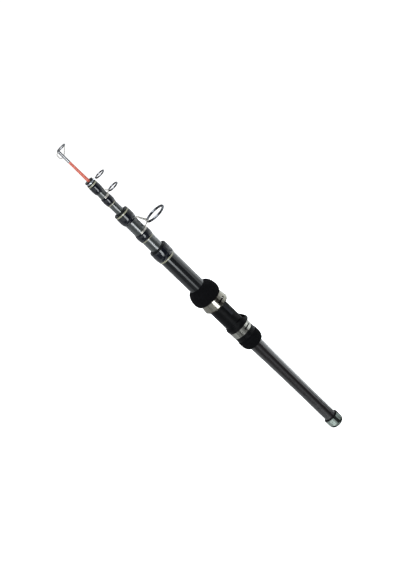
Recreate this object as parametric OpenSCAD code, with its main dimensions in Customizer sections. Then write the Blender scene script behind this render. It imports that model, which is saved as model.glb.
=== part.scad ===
// Telescopic fishing rod, drawn closed. The rod's axis is Z with the butt end at the origin,
// and the line guides and the reel pockets face +X. Lengths are in millimetres.

/* [Fits] */
// Glue line between pieces that are fixed together
glue = 0.05; // [0.03:0.01:0.08]
// Radial running clearance of pieces that slide or turn on each other
slip = 0.06; // [0.03:0.01:0.1]
// Gap between a piece and the stop that it rests on
rest_gap = 0.3; // [0.2:0.05:0.6]

/* [Butt cap] */
// Height of the butt cap
cap_len = 15; // [13:0.5:20]
// Thickness of the cap's end wall
cap_floor = 3; // [2.6:0.1:3.4]
// Thickness of the cap's side wall
cap_wall = 1.15; // [1:0.05:2]
// How far the cap's end is rounded in from its side
cap_round = 5; // [2:0.1:5.2]
// Height over which the cap's end is rounded
cap_round_h = 6; // [4:0.1:7]
// Thickness of the rubber pad inside the cap
pad_h = 2.2; // [1.5:0.1:3]
// Height of the gasket ring above the cap
gasket_h = 1.2; // [1:0.1:3]
// Wall of the gasket ring round the handle
gasket_wall = 0.7; // [0.5:0.05:1.2]
// Wall of the threaded ring on the end of the handle, up to the crest of its thread
thread_ring_wall = 0.95; // [0.8:0.05:1.5]
// Height of the cap's thread
cap_thread_h = 0.4; // [0.2:0.05:0.5]
// Pitch of the cap's thread
cap_pitch = 1.5; // [1.2:0.1:2.5]

/* [Handle] */
// Bare length of the handle between the gasket and the rear grip
handle_len = 145.8; // [120:0.1:200]
// Wall of the handle tube
handle_wall = 1; // [0.8:0.1:1.4]
// Room round the second section inside the handle tube
handle_room = 0.3; // [0.3:0.05:0.6]
// Length of the handle tube that is glued into the butt blank
joint_len = 12; // [8:0.5:20]
// Thickness of the stop ring that the third section rests on
stop_h = 2; // [1:0.1:4]

/* [Grips] */
// Length of the rear grip
rear_grip_len = 16; // [14:0.5:26]
// Largest radius of the rear grip
rear_grip_r = 15; // [14:0.1:18]
// Length of the rear grip's dome
rear_dome_len = 10; // [8:0.5:13]
// Length of the grip's lip on the handle, behind the butt blank
grip_lip = 2; // [1:0.1:4]
// Thickness of the grips' feathered edges
grip_edge = 0.5; // [0.3:0.1:1.5]
// Radius that rounds the rear grip's front rim
grip_round = 1.2; // [0.5:0.1:2]
// Length of the fore grip
fore_grip_len = 23; // [18:0.5:40]
// Largest radius of the fore grip
fore_grip_r = 19.2; // [17:0.1:24]
// Radius of the fore grip's rear face
fore_rear_r = 15.6; // [14.5:0.1:16.5]
// Distance from the fore grip's rear face to its widest place
fore_wide_z = 8; // [4:0.5:12]

/* [Reel seat] */
// Wall of the reel seat round the blank
seat_wall = 1.9; // [1.5:0.1:3]
// Wall left under the flat bed for the reel foot
bed_wall = 0.9; // [0.5:0.05:1.1]
// Clear length between the two hoods
bed_len = 30.6; // [24:0.1:45]
// Height of the seat's thread
seat_thread_h = 0.5; // [0.3:0.05:0.7]
// Pitch of the seat's thread
seat_pitch = 2; // [1.5:0.1:3]
// Travel of the moving hood
hood_travel = 12; // [6:0.5:16]
// Height of the lock nut
nut_h = 7.2; // [4:0.1:9]
// Wall of the lock nut
nut_wall = 1.35; // [1.2:0.05:2.5]
// Number of grooves round the lock nut
nut_grooves = 40; // [16:1:44]
// Radius of a groove round the lock nut
groove_r = 0.45; // [0.3:0.05:0.6]
// Height of the moving hood's metal band
band_h = 9; // [7:0.1:14]
// Thickness of the moving hood's metal band
band_t = 0.75; // [0.5:0.05:1]
// Wall of the moving hood's sleeve
sleeve_wall = 0.85; // [0.7:0.05:1.5]
// Height of the moving hood's lip
lip_h = 8.4; // [7:0.1:14]
// How far the lip stands out from the metal band
lip_step = 0.5; // [0.2:0.1:1.5]
// Length over which the lip slopes in to its front edge
lip_slope = 4; // [3:0.1:6]
// Thickness of the lip's front edge
lip_edge = 0.35; // [0.3:0.05:0.8]
// Wall of the lip over the reel foot
lip_wall = 0.9; // [0.7:0.1:1.5]
// Angle at which the lip over the reel foot is cut back
lip_rake = 50; // [40:1:60]
// How far behind the lip's front edge that cut starts
lip_back = 2; // [0:0.1:3]
// Height of the moving hood's pocket above the bed
pocket_h = 4.4; // [4.2:0.1:5.2]
// Length of the fixed hood
fixed_hood_len = 13.4; // [11:0.1:20]
// Wall of the fixed hood at its mouth
fixed_mouth_wall = 0.5; // [0.4:0.1:1]
// Wall that the fixed hood's flare would have at the mouth without the bevel
fixed_flare_wall = 4.5; // [4:0.1:5]
// Wall of the fixed hood at its closed end
fixed_end_wall = 2.8; // [2.6:0.1:3.6]
// How far the fixed hood's flare is set towards the reel foot
fixed_shift = 0.7; // [0.6:0.1:1]
// Growth of the bevel's radius for each millimetre behind the fixed hood's mouth
fixed_bevel = 0.8; // [0.5:0.1:1.5]
// Height of the fixed hood's pocket above the bed
fixed_pocket_h = 4.5; // [4.3:0.1:4.7]
// How far the fixed hood's pocket narrows to its closed end
pocket_drop = 0.8; // [0.6:0.1:1.2]
// Thickness of the wall that closes the fixed hood's pocket
pocket_end = 2; // [1:0.1:4]
// Radius of the pockets' roofs
roof_r = 13; // [12:0.1:13.5]
// Angle from the reel foot to the grooves beside the bed
rail_angle = 37; // [34:1:48]
// Width of the grooves beside the bed
rail_groove_w = 1; // [0.6:0.1:1.6]
// Depth of the grooves beside the bed
rail_groove_h = 0.7; // [0.4:0.1:1]
// Angle from the reel foot to the long flats on the seat
flat_angle = 59; // [55:1:65]
// Depth of the long flats on the seat
flat_depth = 0.17; // [0.1:0.01:0.3]
// Height of the windows in the metal bands
window_h = 1.8; // [0.6:0.1:2.5]
// Angle from the reel foot at which a window starts
window_from = 36; // [30:1:45]
// Angle from the reel foot at which a window ends
window_to = 78; // [60:1:85]

/* [Butt blank] */
// Bare length of the butt blank in front of the fore grip
butt_show = 55; // [40:1:120]
// Wall of the butt blank
butt_wall = 1; // [0.8:0.1:1.5]
// Room round the third section inside the butt blank
butt_room = 0.3; // [0.3:0.05:0.6]
// Length of the whipped collar at the mouth, with its lip
collar_len = 16; // [12:0.5:24]
// Build of the whipped collar above the blank
collar_build = 1.4; // [0.6:0.1:2]
// Wall of the mouth ferrule in the butt blank
butt_ferrule_wall = 0.8; // [0.6:0.05:1.2]
// Length of the third section left inside when it is pulled out
third_overlap = 45; // [30:1:60]

/* [Third section] */
// Bare length of the third section between the butt's mouth and the rear trim
third_show = 17.6; // [8:0.1:40]
// Wall of the third section's blank
third_wall = 0.9; // [0.7:0.05:1.3]
// Room round the second section's base inside the third section
third_room = 1.65; // [1.4:0.05:2.2]
// Wall of the mouth ferrule in the third section
third_ferrule_wall = 0.85; // [0.6:0.05:1.2]
// Length of the third section's rear whipping
third_rear_len = 10.8; // [9:0.1:20]
// Build of the third section's rear whipping
third_rear_build = 1.25; // [1.1:0.05:2]
// Space for the guide between the third section's whippings
third_guide_gap = 18.8; // [16:0.1:24]
// Length of the third section's front whipping
third_front_len = 13.7; // [10:0.1:24]
// Build of the third section's front whipping
third_front_build = 1.8; // [1.1:0.05:2.5]
// Length of the second section left inside when it is pulled out
second_overlap = 45; // [30:1:60]
// Outside diameter of the third section's guide ring
third_ring_d = 29.4; // [22:0.2:32]
// Height of the third guide's ring above the rod's axis, to the ring's centre
third_ring_x = 28.1; // [27.6:0.1:34]
// Diameter of the third guide's ring wire
third_wire_d = 3.2; // [2.2:0.1:3.4]
// Distance along the rod from the third guide's ring to the landing of its front legs
third_leg_reach = 13; // [6:0.5:13]
// Diameter of the third guide's front legs
third_leg_d = 2; // [1.2:0.1:2.1]
// Distance along the rod from the third guide's saddle foot to its ring
third_ring_rise = 2.1; // [0:0.1:2.4]

/* [Second section] */
// Bare length of the second section between the third's mouth and the rear trim
second_show = 15.1; // [8:0.1:40]
// Wall of the second section's blank
second_wall = 0.8; // [0.6:0.05:1.2]
// Room round the tip section's base inside the second section
second_room = 2.5; // [2.2:0.05:3]
// Wall of the mouth ferrule in the second section
second_ferrule_wall = 1.25; // [0.9:0.05:1.5]
// Length of the second section's rear whipping
second_rear_len = 11.4; // [8:0.1:18]
// Build of the second section's rear whipping
second_rear_build = 1.15; // [1.1:0.05:1.8]
// Space for the guide between the second section's whippings
second_guide_gap = 8.8; // [8:0.1:14]
// Length of the second section's front whipping
second_front_len = 12.1; // [8:0.1:18]
// Build of the second section's front whipping
second_front_build = 1.15; // [1.1:0.05:1.8]
// Length of the tip section left inside when it is pulled out
tip_overlap = 40; // [25:1:55]
// Outside diameter of the second section's guide ring
second_ring_d = 16; // [12:0.2:18]
// Height of the second guide's ring above the rod's axis, to the ring's centre
second_ring_x = 15.5; // [15.2:0.1:20]
// Diameter of the second guide's ring wire
second_wire_d = 2.1; // [1.5:0.1:2.3]
// Distance along the rod from the second guide's ring to the landing of its front legs
second_leg_reach = 4; // [3:0.5:5]
// Diameter of the second guide's front legs
second_leg_d = 1.2; // [0.9:0.1:1.4]
// Distance along the rod from the second guide's saddle foot to its ring
second_ring_rise = 0.7; // [0:0.1:2]

/* [Guide feet and trims] */
// Thickness of the guides' feet and risers
foot_t = 0.8; // [0.6:0.05:0.9]
// Width of the guides' risers and front feet
foot_w = 3; // [2:0.1:3.6]
// Length of a guide foot that is bound under a whipping
foot_tuck = 3; // [2:0.5:5]
// Length of the saddle foot that shows in front of the rear whipping
saddle_show = 1.6; // [1.2:0.1:3]
// Angle round the blank that the saddle foot covers
saddle_wrap = 200; // [150:5:240]
// Angle round a guide's ring from its riser to where a front leg joins it
leg_spread = 28; // [10:1:45]
// Height of the trim rings at the mouths
trim_h = 2; // [1:0.1:3]
// Height of the trim rings behind the rear whippings
rear_trim_h = 1.1; // [0.8:0.1:3]
// Build of the trim rings above the blank
trim_build = 0.55; // [0.3:0.05:1]
// How far the mouths lie inside the fullest place of the whippings behind them
mouth_step = 0.35; // [0.2:0.05:0.6]
// Height of the ferrules' lips at the mouths
mouth_lip = 1.2; // [0.8:0.1:3]

/* [Sliding guide] */
// Height of the sliding guide's bush
slider_h = 3.7; // [3.4:0.1:6]
// Outside diameter of the bush's rim
slider_d = 11.5; // [10:0.1:13]
// Height of the metal band behind the bush's rim
slider_band_h = 1.9; // [1.5:0.1:2.4]
// How far the band lies inside the rim
slider_step = 0.3; // [0.1:0.05:0.6]
// Thickness of the band
slider_t = 0.8; // [0.5:0.05:1.2]
// Room between the bush and the tip
slider_room = 0.3; // [0.3:0.05:0.6]
// Depth of the dish in the bush's front
slider_dish = 1.1; // [0.3:0.1:1.3]
// Thickness of the rim round the dish
slider_rim = 0.7; // [0.4:0.1:1.2]
// Width of the dish's floor round the tip
slider_floor = 0.5; // [0.3:0.1:0.8]
// Width of the stem between the band and the ring
slider_stem_w = 2.2; // [1.6:0.1:2.6]
// Thickness of the stem between the band and the ring
slider_stem_t = 1.2; // [0.8:0.1:1.3]
// Outside diameter of the sliding guide's ring
slider_ring_d = 14.9; // [11:0.1:16]
// Height of the sliding guide's ring above the rod's axis, to the ring's centre
slider_ring_x = 15.1; // [14.8:0.1:18]
// Diameter of the sliding guide's ring wire
slider_wire_d = 1.9; // [1.4:0.1:2.1]
// Distance along the rod from the band's rear edge to the ring
slider_ring_up = -0.4; // [-0.6:0.1:2]

/* [Tip section] */
// Diameter of the tip blank at its base
tip_base_d = 7; // [6.4:0.1:7.6]
// Wall of the tip blank
tip_wall = 0.6; // [0.5:0.05:0.7]
// Diameter of the tip where the solid tip is spliced in
tip_splice_d = 4.5; // [4.2:0.1:5]
// Depth of the splice below the second section's mouth
splice_depth = 14; // [8:0.5:25]
// Length of the solid tip's root inside the tip blank
splice_len = 20; // [12:1:35]
// Bare length of the solid tip in front of the second section's mouth
tip_show = 37; // [36:0.5:60]
// Diameter of the solid tip where it enters the tip tube
tip_end_d = 3.4; // [2.8:0.1:3.8]
// Length of the tip tube
tip_tube_len = 19; // [14:0.5:25]
// Outside diameter of the tip tube
tip_tube_d = 3.6; // [3.2:0.1:4]
// Wall of the tip tube
tip_tube_wall = 0.4; // [0.3:0.05:0.6]
// Depth of the solid tip inside the tip tube
tip_seat_len = 14; // [8:0.5:16]
// Outside diameter of the tip ring
tip_ring_d = 13.2; // [10:0.1:16]
// Diameter of the tip ring's wire
tip_wire_d = 1.4; // [1:0.1:1.8]
// Angle by which the tip ring leans to one side
tip_ring_lean = 3; // [0:1:15]
// Diameter of the brace and loop wires
brace_d = 1; // [0.7:0.1:1.3]
// Distance from the tube's front end back to the brace's foot
brace_back = 9.5; // [6:0.5:12]
// How far the loop stands off the tip tube's axis
loop_off = 4.6; // [3.5:0.1:6]

/* [Hidden] */
$fn = 96;
// Overshoot of cuts past the faces that they leave
cut = 0.2;
// Steps along a curved outline
steps = 16;
// Steps round one turn of a thread
turn_steps = 24;
// Powers that shape the whippings' swell and the handle's flare
swell_power = 0.6;
flare_power = 3;

// Places along the rod, from the butt to the tip
gasket_z1 = cap_len + gasket_h;
rear_grip_z0 = gasket_z1 + handle_len;
rear_grip_z1 = rear_grip_z0 + rear_grip_len;
butt_z0 = rear_grip_z0 + grip_lip;
pad_z1 = cap_floor + pad_h;
handle_z0 = pad_z1 + rest_gap;
handle_z1 = butt_z0 + joint_len;
stop_z1 = handle_z1 + stop_h;
nut_z0 = rear_grip_z1 + rest_gap;
nut_z1 = nut_z0 + nut_h;
hood_z0 = nut_z1 + slip;
band_z1 = hood_z0 + band_h;
lip_z1 = band_z1 + lip_h;
fixed_z0 = lip_z1 + bed_len;
fixed_z1 = fixed_z0 + fixed_hood_len;
fore_z1 = fixed_z1 + fore_grip_len;
collar_z0 = fore_z1 + butt_show + trim_h;
butt_mouth_z = collar_z0 + collar_len;
third_rear_z0 = butt_mouth_z + third_show + rear_trim_h;
third_rear_z1 = third_rear_z0 + third_rear_len;
third_front_z0 = third_rear_z1 + third_guide_gap;
third_front_z1 = third_front_z0 + third_front_len;
third_mouth_z = third_front_z1 + trim_h + mouth_lip;
second_rear_z0 = third_mouth_z + second_show + rear_trim_h;
second_rear_z1 = second_rear_z0 + second_rear_len;
second_front_z0 = second_rear_z1 + second_guide_gap;
second_front_z1 = second_front_z0 + second_front_len;
second_mouth_z = second_front_z1 + trim_h + mouth_lip;
slider_z0 = second_mouth_z + rest_gap;
slider_z1 = slider_z0 + slider_h;
splice_z = second_mouth_z - splice_depth;
tip_end_z = second_mouth_z + tip_show;
tip_tube_z1 = tip_end_z + tip_tube_len;

// Places where the closed sections rest, and how far each one pulls out
third_base_z = stop_z1 + rest_gap;
second_base_z = pad_z1 + rest_gap;
tip_base_z = pad_z1 + rest_gap;
third_travel = butt_mouth_z - third_overlap - third_base_z;
second_travel = third_mouth_z - second_overlap - second_base_z;
tip_travel = second_mouth_z - tip_overlap - tip_base_z;

// Diameters, from the tip outwards, each blank holding the one inside it
tip_wedge_d = tip_d(tip_base_z + tip_overlap);
second_base_d = tip_base_d + 2 * (second_room + second_wall);
second_front_d = tip_wedge_d + 2 * (slip + second_ferrule_wall + glue + second_wall);
second_wedge_d = second_d(second_base_z + second_overlap);
third_base_d = second_base_d + 2 * (third_room + third_wall);
third_front_d = second_wedge_d + 2 * (slip + third_ferrule_wall + glue + third_wall);
third_wedge_d = third_d(third_base_z + third_overlap);
butt_rear_d = third_base_d + 2 * (butt_room + butt_wall);
butt_front_d = third_wedge_d + 2 * (slip + butt_ferrule_wall + glue + butt_wall);
handle_rear_d = second_base_d + 2 * (handle_room + handle_wall);
handle_front_d = butt_rear_d - 2 * (butt_wall + glue);

// Radii round the butt and the reel seat
thread_ring_r = handle_rear_d / 2 + glue + thread_ring_wall;
cap_bore_r = thread_ring_r + slip;
cap_r = cap_bore_r + cap_wall;
seat_r = butt_d(fixed_z1) / 2 + glue + seat_wall;
bed_x = butt_d(fixed_z1) / 2 + glue + bed_wall;
bed_z0 = hood_z0 + rest_gap;
hood_bore_r = seat_r + slip;
sleeve_r = hood_bore_r + sleeve_wall;
band_r = sleeve_r + glue + band_t;
lip_r = band_r + lip_step;
thread_z1 = nut_z1 + hood_travel + seat_pitch;
flat_z0 = lip_z1 + hood_travel + slip;
pocket_z1 = fixed_z1 - pocket_end;

// Rings of the guides and the tip, by the radius of the wire's centre line
third_ring_r = (third_ring_d - third_wire_d) / 2;
second_ring_r = (second_ring_d - second_wire_d) / 2;
slider_ring_r = (slider_ring_d - slider_wire_d) / 2;
tip_ring_r = (tip_ring_d - tip_wire_d) / 2;
third_ring_z = third_rear_z1 + saddle_show / 2 + third_ring_rise;
second_ring_z = second_rear_z1 + saddle_show / 2 + second_ring_rise;
slider_band_r = slider_d / 2 - slider_step;
slider_band_z1 = slider_z0 + slider_band_h;
slider_ring_z = slider_z0 + slider_ring_up;
tip_ring_z = tip_tube_z1 + tip_wire_d / 4;
tip_ring_x = tip_ring_r - tip_wire_d / 4;
tip_bore_d = tip_tube_d - 2 * tip_tube_wall;
brace_z = tip_tube_z1 - brace_back;

echo(third_travel = third_travel, second_travel = second_travel, tip_travel = tip_travel);
echo(cap_r = cap_r, bed_x = bed_x, seat_r = seat_r, butt_mouth_z = butt_mouth_z, tip_top = tip_ring_z);

function mix(a, b, u) = a + (b - a) * u;
function along(z, z0, z1) = (z - z0) / (z1 - z0);

// Build at a mouth, for the fullest build of the whipping behind it
function mouth_build(build) = max(trim_build, build - mouth_step);

// Outside diameters of the tapered tubes at a height
function tip_d(z) = mix(tip_base_d, tip_splice_d, along(z, tip_base_z, splice_z));
function solid_d(z) = mix(tip_splice_d, tip_end_d, along(z, splice_z, tip_end_z));
function second_d(z) = mix(second_base_d, second_front_d, along(z, second_base_z, second_mouth_z));
function third_d(z) = mix(third_base_d, third_front_d, along(z, third_base_z, third_mouth_z));
function butt_d(z) = mix(butt_rear_d, butt_front_d, along(z, butt_z0, butt_mouth_z));
function handle_d(z) =
    mix(handle_rear_d, handle_front_d, pow(min(1, max(0, along(z, handle_z0, butt_z0))), flare_power));

// Cone between two heights
module taper(z0, z1, d0, d1) {
    translate([0, 0, z0])
        cylinder(h = z1 - z0, d1 = d0, d2 = d1);
}

// Plain ring between two heights
module ring(z0, z1, r0, r1) {
    difference() {
        taper(z0, z1, 2 * r1, 2 * r1);
        taper(z0 - cut, z1 + cut, 2 * r0, 2 * r0);
    }
}

// Tapered tube
module tapered_tube(z0, z1, d0, d1, wall) {
    difference() {
        taper(z0, z1, d0, d1);
        taper(z0 - cut, z1 + cut, d0 - 2 * wall, d1 - 2 * wall);
    }
}

// Ferrule in a blank's mouth, whose bore holds the next section's base when it is pulled out
module ferrule(z0, blank_z1, mouth_z, outer_d0, outer_d1, lip_d, bore_d0, bore_d1) {
    difference() {
        union() {
            taper(z0, blank_z1, outer_d0, outer_d1);
            taper(blank_z1, mouth_z, lip_d, lip_d - mouth_lip / 2);
        }
        taper(z0 - cut, mouth_z + cut, bore_d0, bore_d1);
    }
}

// Swollen thread binding over a blank, thin at its rear end
module whipping(z0, z1, blank_d0, blank_d1, build, front_build) {
    function swell(u) =
        let (end = u < 0.5 ? trim_build : front_build)
        end + (build - end) * pow(sin(180 * u), swell_power);
    difference() {
        rotate_extrude()
            polygon(concat(
                [[0, z0]],
                [for (i = [0 : steps]) let (u = i / steps)
                    [mix(blank_d0, blank_d1, u) / 2 + swell(u), mix(z0, z1, u)]],
                [[0, z1]]));
        taper(z0 - cut, z1 + cut, blank_d0 + 2 * glue, blank_d1 + 2 * glue);
    }
}

// Trim ring seated on a blank
module trim(z0, z1, blank_d0, blank_d1, build) {
    difference() {
        taper(z0, z1, blank_d0 + 2 * build, blank_d1 + 2 * build);
        taper(z0 - cut, z1 + cut, blank_d0 + 2 * glue, blank_d1 + 2 * glue);
    }
}

// Wire ring that lies square to the rod, or leans to one side
module wire_ring(x, z, ring_r, wire_d, lean = 0) {
    translate([x, 0, z])
        rotate([-lean, 0, 0])
            rotate_extrude()
                translate([ring_r, 0])
                    circle(d = wire_d, $fn = 32);
}

// Flat bar with round ends between two points [x, z] of the guide plane
module bar(p, q, width, thick) {
    run = q - p;
    translate([p[0], 0, p[1]])
        rotate([0, atan2(run[0], run[1]), 0])
            translate([-thick / 2, -width / 2, 0])
                cube([thick, width, norm(run)]);
    for (end = [p, q])
        translate([end[0], 0, end[1]])
            rotate([90, 0, 0])
                cylinder(h = width, d = thick, center = true);
}

// Round strut between two points [x, y, z]
module strut(p, q, d) {
    run = q - p;
    translate(p)
        rotate([0, acos(run[2] / norm(run)), atan2(run[1], run[0])])
            cylinder(h = norm(run), d = d, $fn = 32);
}

// Quarter turn of round wire in the guide plane, about a point [x, z]
module quarter_bend(centre, bend_r, from, d) {
    translate([centre[0], 0, centre[1]])
        rotate([90, 0, 0])
            rotate([0, 0, from])
                rotate_extrude(angle = 90)
                    translate([bend_r, 0])
                        circle(d = d, $fn = 32);
}

// Saddle foot round the guide side of a blank, grown to cut its own place
module saddle(rear_z1, blank_d, grow) {
    r0 = blank_d / 2 + glue;
    edge = asin(grow / r0);
    rotate([0, 0, -saddle_wrap / 2 - edge])
        rotate_extrude(angle = saddle_wrap + 2 * edge)
            translate([r0 - grow, rear_z1 - foot_tuck - grow])
                square([foot_t + 2 * grow, foot_tuck + saddle_show + 2 * grow]);
}

// Flat tongue of a guide's front foot, grown to cut its own place
module tongue(land_z, front_z0, blank_d, grow) {
    x0 = blank_d / 2 + glue;
    translate([x0 - grow, -foot_w / 2 - grow, land_z])
        cube([foot_t + 2 * grow, foot_w + 2 * grow, front_z0 + foot_tuck + grow - land_z]);
}

// Two-footed guide frame: saddle, riser, two front legs and tongue, cut to the ring that it holds
module guide_frame(ring_x, ring_z, ring_r, wire_d, rear_z1, front_z0, saddle_d, tongue_d, reach, leg_d) {
    foot_x = saddle_d / 2 + glue + foot_t / 2;
    land = [tongue_d / 2 + glue + leg_d / 2, 0, ring_z + reach + leg_d / 2];
    difference() {
        union() {
            saddle(rear_z1, saddle_d, 0);
            tongue(ring_z + reach, front_z0, tongue_d, 0);
            bar([foot_x, rear_z1 + saddle_show / 2], [ring_x - ring_r, ring_z], foot_w, foot_t);
            for (side = [-leg_spread, leg_spread])
                strut(land, [ring_x - ring_r * cos(side), ring_r * sin(side), ring_z], leg_d);
        }
        wire_ring(ring_x, ring_z, ring_r, wire_d);
    }
}

// Helical ridge of a thread, from its root to its crest
module thread_ridge(z0, z1, root_r, crest_r, pitch) {
    turns = (z1 - z0 - pitch / 2) / pitch;
    last = ceil(turns * turn_steps);
    // Ridge outline as [radius, height], fuller at its root than at its crest
    outline = [[root_r, 0], [crest_r, pitch / 6], [crest_r, pitch / 3], [root_r, pitch / 2]];
    sides = len(outline);
    points = [for (i = [0 : last]) let (a = 360 * turns * i / last) for (p = outline)
        [p[0] * cos(a), p[0] * sin(a), z0 + p[1] + pitch * a / 360]];
    walls = [for (i = [0 : last - 1], k = [0 : sides - 1])
        let (here = i * sides, next = here + sides, m = (k + 1) % sides)
        each [[here + k, next + m, next + k], [here + k, here + m, next + m]]];
    start = [[0, 2, 1], [0, 3, 2]];
    end = [for (f = start) [for (k = [2, 1, 0]) last * sides + f[k]]];
    polyhedron(points = points, faces = concat(walls, start, end));
}

// Room cut through both metal bands for their windows
module windows(z, r0, r1) {
    for (side = [window_from, -window_to])
        rotate([0, 0, side])
            rotate_extrude(angle = window_to - window_from)
                translate([r0, z - window_h / 2])
                    square([r1 - r0, window_h]);
}

// Off-centre round over the reel foot: its crown stands a set distance out along +X, less a drop at its top
module crown(z0, z1, crown_x, round_r, drop = 0) {
    translate([crown_x - round_r, 0, z0])
        cylinder(h = z1 - z0, r1 = round_r, r2 = round_r - drop);
}

module tip_ring() {
    color("dimgray")
        wire_ring(tip_ring_x, tip_ring_z, tip_ring_r, tip_wire_d, tip_ring_lean);
}

module tip_brace() {
    color("silver")
        difference() {
            strut([tip_ring_x + tip_ring_r, 0, tip_ring_z], [tip_tube_d / 4, 0, brace_z], brace_d);
            wire_ring(tip_ring_x, tip_ring_z, tip_ring_r, tip_wire_d, tip_ring_lean);
            taper(tip_end_z, tip_tube_z1, tip_tube_d, tip_tube_d);
        }
}

module tip_loop() {
    tube_r = tip_tube_d / 2;
    bend_r = loop_off - tube_r;
    low_z = brace_z + bend_r;
    high_z = max(low_z + cut, tip_tube_z1 - brace_d - bend_r);
    color("silver")
        difference() {
            union() {
                quarter_bend([-tube_r, low_z], bend_r, 180, brace_d);
                strut([-loop_off, 0, low_z], [-loop_off, 0, high_z], brace_d);
                quarter_bend([-tube_r, high_z], bend_r, 90, brace_d);
                for (z = [low_z - bend_r, high_z + bend_r])
                    strut([-tube_r, 0, z], [-tube_r / 2, 0, z], brace_d);
            }
            taper(tip_end_z, tip_tube_z1, tip_tube_d, tip_tube_d);
        }
}

module tip_tube() {
    color("lightgray")
        difference() {
            taper(tip_end_z, tip_tube_z1, tip_tube_d, tip_tube_d);
            taper(tip_end_z - cut, tip_end_z + tip_seat_len, tip_bore_d, tip_bore_d);
            wire_ring(tip_ring_x, tip_ring_z, tip_ring_r, tip_wire_d, tip_ring_lean);
        }
}

module tip_solid() {
    root_d = tip_splice_d - 2 * (tip_wall + glue);
    seat_d = tip_bore_d - 2 * glue;
    color("orangered")
        union() {
            taper(splice_z - splice_len, splice_z + cut, root_d, root_d);
            taper(splice_z + glue, tip_end_z - glue, tip_splice_d, tip_end_d);
            taper(tip_end_z - cut, tip_end_z + tip_seat_len - glue, seat_d, seat_d);
        }
}

module tip_blank() {
    color("darkslategray")
        tapered_tube(tip_base_z, splice_z, tip_base_d, tip_splice_d, tip_wall);
}

module sliding_guide_ring() {
    color("dimgray")
        wire_ring(slider_ring_x, slider_ring_z, slider_ring_r, slider_wire_d);
}

module sliding_guide_band() {
    bore_r = slider_band_r - slider_t;
    color("silver")
        difference() {
            union() {
                ring(slider_z0, slider_band_z1, bore_r, slider_band_r);
                bar([slider_band_r - slider_t / 2, (slider_z0 + slider_band_z1) / 2],
                    [slider_ring_x - slider_ring_r, slider_ring_z], slider_stem_w, slider_stem_t);
            }
            taper(slider_z0 - cut, slider_z1 + cut, 2 * bore_r, 2 * bore_r);
            wire_ring(slider_ring_x, slider_ring_z, slider_ring_r, slider_wire_d);
        }
}

module sliding_guide_bush() {
    bore_r = solid_d(slider_z0) / 2 + slider_room;
    neck_r = slider_band_r - slider_t - glue;
    dish_d = slider_d - 2 * slider_rim;
    color("black")
        difference() {
            union() {
                taper(slider_z0, slider_z1 - slider_dish, 2 * neck_r, 2 * neck_r);
                taper(slider_band_z1 + glue, slider_z1, slider_d, slider_d);
            }
            taper(slider_z0 - cut, slider_z1, 2 * bore_r, 2 * bore_r);
            taper(slider_z1 - slider_dish, slider_z1, 2 * (bore_r + slider_floor), dish_d);
            taper(slider_z1 - glue, slider_z1 + cut, dish_d, dish_d);
        }
}

module second_guide_ring() {
    color("dimgray")
        wire_ring(second_ring_x, second_ring_z, second_ring_r, second_wire_d);
}

module second_guide_frame() {
    color("silver")
        guide_frame(second_ring_x, second_ring_z, second_ring_r, second_wire_d,
                    second_rear_z1, second_front_z0, second_d(second_rear_z1 - foot_tuck),
                    second_d(second_ring_z + second_leg_reach), second_leg_reach, second_leg_d);
}

module second_front_trim() {
    z1 = second_front_z1 + trim_h;
    color("wheat")
        trim(second_front_z1 + glue, z1, second_d(second_front_z1), second_d(z1),
             mouth_build(second_front_build));
}

module second_front_whipping() {
    color("black")
        difference() {
            whipping(second_front_z0, second_front_z1, second_d(second_front_z0),
                     second_d(second_front_z1), second_front_build, mouth_build(second_front_build));
            tongue(second_ring_z + second_leg_reach, second_front_z0,
                   second_d(second_ring_z + second_leg_reach), glue);
        }
}

module second_rear_whipping() {
    color("black")
        difference() {
            whipping(second_rear_z0, second_rear_z1, second_d(second_rear_z0),
                     second_d(second_rear_z1), second_rear_build, trim_build);
            saddle(second_rear_z1, second_d(second_rear_z1 - foot_tuck), glue);
        }
}

module second_rear_trim() {
    z0 = second_rear_z0 - rear_trim_h;
    z1 = second_rear_z0 - glue;
    color("wheat")
        trim(z0, z1, second_d(z0), second_d(z1), trim_build);
}

module second_ferrule() {
    z0 = second_mouth_z - tip_overlap;
    z1 = second_mouth_z - mouth_lip;
    inset = 2 * (second_wall + glue);
    color("black")
        ferrule(z0, z1, second_mouth_z, second_d(z0) - inset, second_d(z1) - inset,
                second_d(z1) + 2 * mouth_build(second_front_build), tip_base_d + 2 * slip, tip_wedge_d + 2 * slip);
}

module second_blank() {
    z1 = second_mouth_z - mouth_lip - glue;
    color("slategray")
        tapered_tube(second_base_z, z1, second_base_d, second_d(z1), second_wall);
}

module third_guide_ring() {
    color("dimgray")
        wire_ring(third_ring_x, third_ring_z, third_ring_r, third_wire_d);
}

module third_guide_frame() {
    color("silver")
        guide_frame(third_ring_x, third_ring_z, third_ring_r, third_wire_d,
                    third_rear_z1, third_front_z0, third_d(third_rear_z1 - foot_tuck),
                    third_d(third_ring_z + third_leg_reach), third_leg_reach, third_leg_d);
}

module third_front_trim() {
    z1 = third_front_z1 + trim_h;
    color("wheat")
        trim(third_front_z1 + glue, z1, third_d(third_front_z1), third_d(z1),
             mouth_build(third_front_build));
}

module third_front_whipping() {
    color("black")
        difference() {
            whipping(third_front_z0, third_front_z1, third_d(third_front_z0),
                     third_d(third_front_z1), third_front_build, mouth_build(third_front_build));
            tongue(third_ring_z + third_leg_reach, third_front_z0,
                   third_d(third_ring_z + third_leg_reach), glue);
        }
}

module third_rear_whipping() {
    color("black")
        difference() {
            whipping(third_rear_z0, third_rear_z1, third_d(third_rear_z0),
                     third_d(third_rear_z1), third_rear_build, trim_build);
            saddle(third_rear_z1, third_d(third_rear_z1 - foot_tuck), glue);
        }
}

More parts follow.
